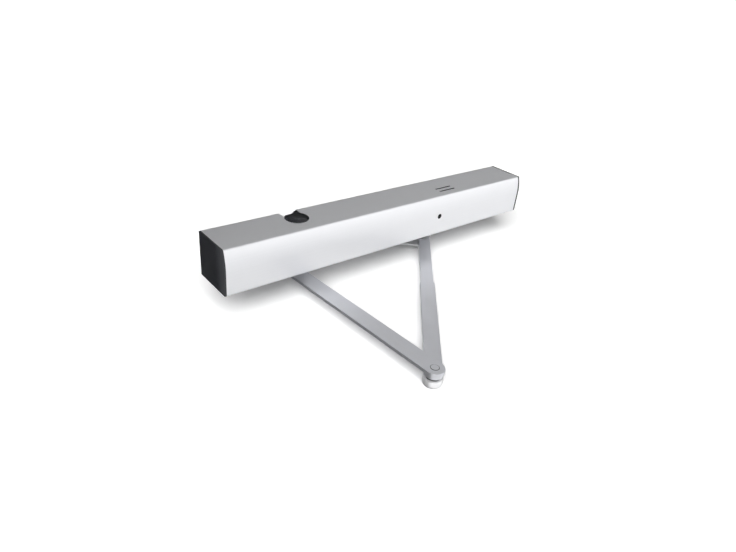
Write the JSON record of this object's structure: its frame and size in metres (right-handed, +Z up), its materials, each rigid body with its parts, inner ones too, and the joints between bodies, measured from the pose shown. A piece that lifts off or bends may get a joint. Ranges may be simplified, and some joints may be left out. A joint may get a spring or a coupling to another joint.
{
  "type": "overhead door closer",
  "caption": "Powered overhead door closer: long silver hood with dark end caps on a wall plate, closer and drive unit inside, and a scissor arm with a telescopic forearm and a door shoe.",
  "frame": {"origin": "middle of the four wall holes, on the wall plane", "axes": "+X along the hood to the right as seen from the front, -Y out from the wall to the front, +Y into the wall, +Z up"},
  "size_m": [0.69, 0.4025, 0.1276],
  "materials": {
    "hood_silver": "fine satin anodised aluminium, cool silver",
    "plate_steel": "zinc-plated pressed steel, dull grey",
    "cap_black": "black moulded plastic with a fine grain",
    "cover_black": "dark grey moulded plastic, softly shining",
    "lens_dark": "dark glossy lens",
    "screw_steel": "zinc-plated screws",
    "cast_metal": "cast aluminium, slightly rough",
    "machined_steel": "machined steel",
    "bearing_steel": "ground bearing steel",
    "seal_rubber": "black rubber",
    "ring_dark": "dark filled polymer rings",
    "brass": "brass and bronze",
    "spring_steel": "dark oiled spring steel",
    "motor_black": "black painted steel can",
    "magnet_grey": "ferrite magnets and carbon brushes",
    "bell_plastic": "black moulded plastic",
    "rotor_copper": "laminated steel and copper winding",
    "board_green": "green lacquered circuit board",
    "terminal_green": "green terminal blocks",
    "relay_blue": "blue relay cases",
    "capacitor_black": "dark sleeved capacitors",
    "light_clear": "clear light guide",
    "core_steel": "varnished laminations",
    "coil_copper": "enamelled copper winding",
    "terminal_white": "white terminal block",
    "arm_silver": "silver painted steel, satin",
    "stub_steel": "turned steel",
    "foot_bright": "bright nickel-plated steel",
    "washer_dark": "dark polymer washer",
    "shoe_grey": "silver painted steel"
  },
  "bodies": {
    "housing": {"mounting_plate": "plate_steel", "hood": "hood_silver", "left_end_cap": "cap_black", "right_end_cap": "cap_black", "spindle_cover": "cover_black", "status_window": "lens_dark", "hood_screws": "screw_steel", "closer_body": "cast_metal", "body_screws": "screw_steel", "spring_end_plug": "machined_steel", "spring_adjuster": "screw_steel", "spring_seat": "machined_steel", "pump_end_plug": "machined_steel", "plug_seals": "seal_rubber", "bearing_outer_rings": "bearing_steel", "bearing_balls": "bearing_steel", "shaft_seals": "seal_rubber", "bearing_covers": "machined_steel", "speed_valves": "brass", "pump_block": "cast_metal", "pump_cover": "cast_metal", "motor_can": "motor_black", "motor_magnets": "magnet_grey", "motor_end_bell": "bell_plastic", "motor_bushes": "brass", "motor_brushes": "magnet_grey", "control_case": "bell_plastic", "circuit_board": "board_green", "board_terminals": "terminal_green", "board_relays": "relay_blue", "board_capacitors": "capacitor_black", "status_light": "light_clear", "transformer_core": "core_steel", "transformer_coil": "coil_copper", "transformer_bracket": "plate_steel", "mains_terminals": "terminal_white", "unit_screws": "screw_steel", "closing_spring": "spring_steel"},
    "spindle": {"spindle": "machined_steel", "bearing_inner_rings": "bearing_steel", "spindle_extension": "stub_steel", "main_arm": "arm_silver", "arm_washer": "screw_steel", "arm_screw": "screw_steel", "elbow_pin": "arm_silver", "elbow_washer": "washer_dark", "elbow_foot": "foot_bright"},
    "piston": {"piston": "machined_steel", "piston_rings": "ring_dark"},
    "forearm": {"forearm_channel": "arm_silver", "elbow_eye": "arm_silver", "elbow_bush": "brass", "forearm_rivets": "arm_silver"},
    "sliding_bar": {"forearm_bar": "arm_silver", "shoe_bush": "brass", "bar_clamp": "screw_steel"},
    "shoe": {"door_shoe": "shoe_grey", "shoe_pin": "shoe_grey"},
    "rotor": {"motor_rotor": "rotor_copper"},
    "pump_idler": {"pump_idler_gear": "machined_steel"}
  },
  "joints": [
    {"name": "spindle_turn", "type": "hinge", "parent": "housing", "child": "spindle", "pos_m": [-0.189, -0.029, 0], "axis": [0, 0, 1], "range_deg": [0, 115], "stiffness_Nm_per_rad": 6, "springref_deg": -171.89},
    {"name": "piston_slide", "type": "slide", "parent": "housing", "child": "piston", "axis": [1, 0, 0], "range_m": [-0.0242, 0], "deforming": ["closing_spring"]},
    {"name": "elbow_turn", "type": "hinge", "parent": "spindle", "child": "forearm", "pos_m": [-0.17075, -0.35048, -0.0695], "axis": [0, 0, 1], "range_deg": [-125, 25]},
    {"name": "forearm_slide", "type": "slide", "parent": "forearm", "child": "sliding_bar", "axis": [0.6743, 0.7385, 0], "range_m": [-0.045, 0.045]},
    {"name": "shoe_turn", "type": "hinge", "parent": "sliding_bar", "child": "shoe", "pos_m": [0.11583, -0.03664, -0.0768], "axis": [0, 0, 1], "range_deg": [-60, 100]},
    {"name": "rotor_spin", "type": "hinge", "parent": "housing", "child": "rotor", "pos_m": [-0.03, -0.029, 0], "axis": [1, 0, 0], "continuous": true},
    {"name": "idler_spin", "type": "hinge", "parent": "housing", "child": "pump_idler", "pos_m": [-0.08, -0.029, -0.0132], "axis": [1, 0, 0], "continuous": true}
  ],
  "couplings": [
    {"joint": "piston_slide", "follows": "spindle_turn", "m_per_rad": -0.012},
    {"joint": "idler_spin", "follows": "rotor_spin", "ratio": -1}
  ]
}
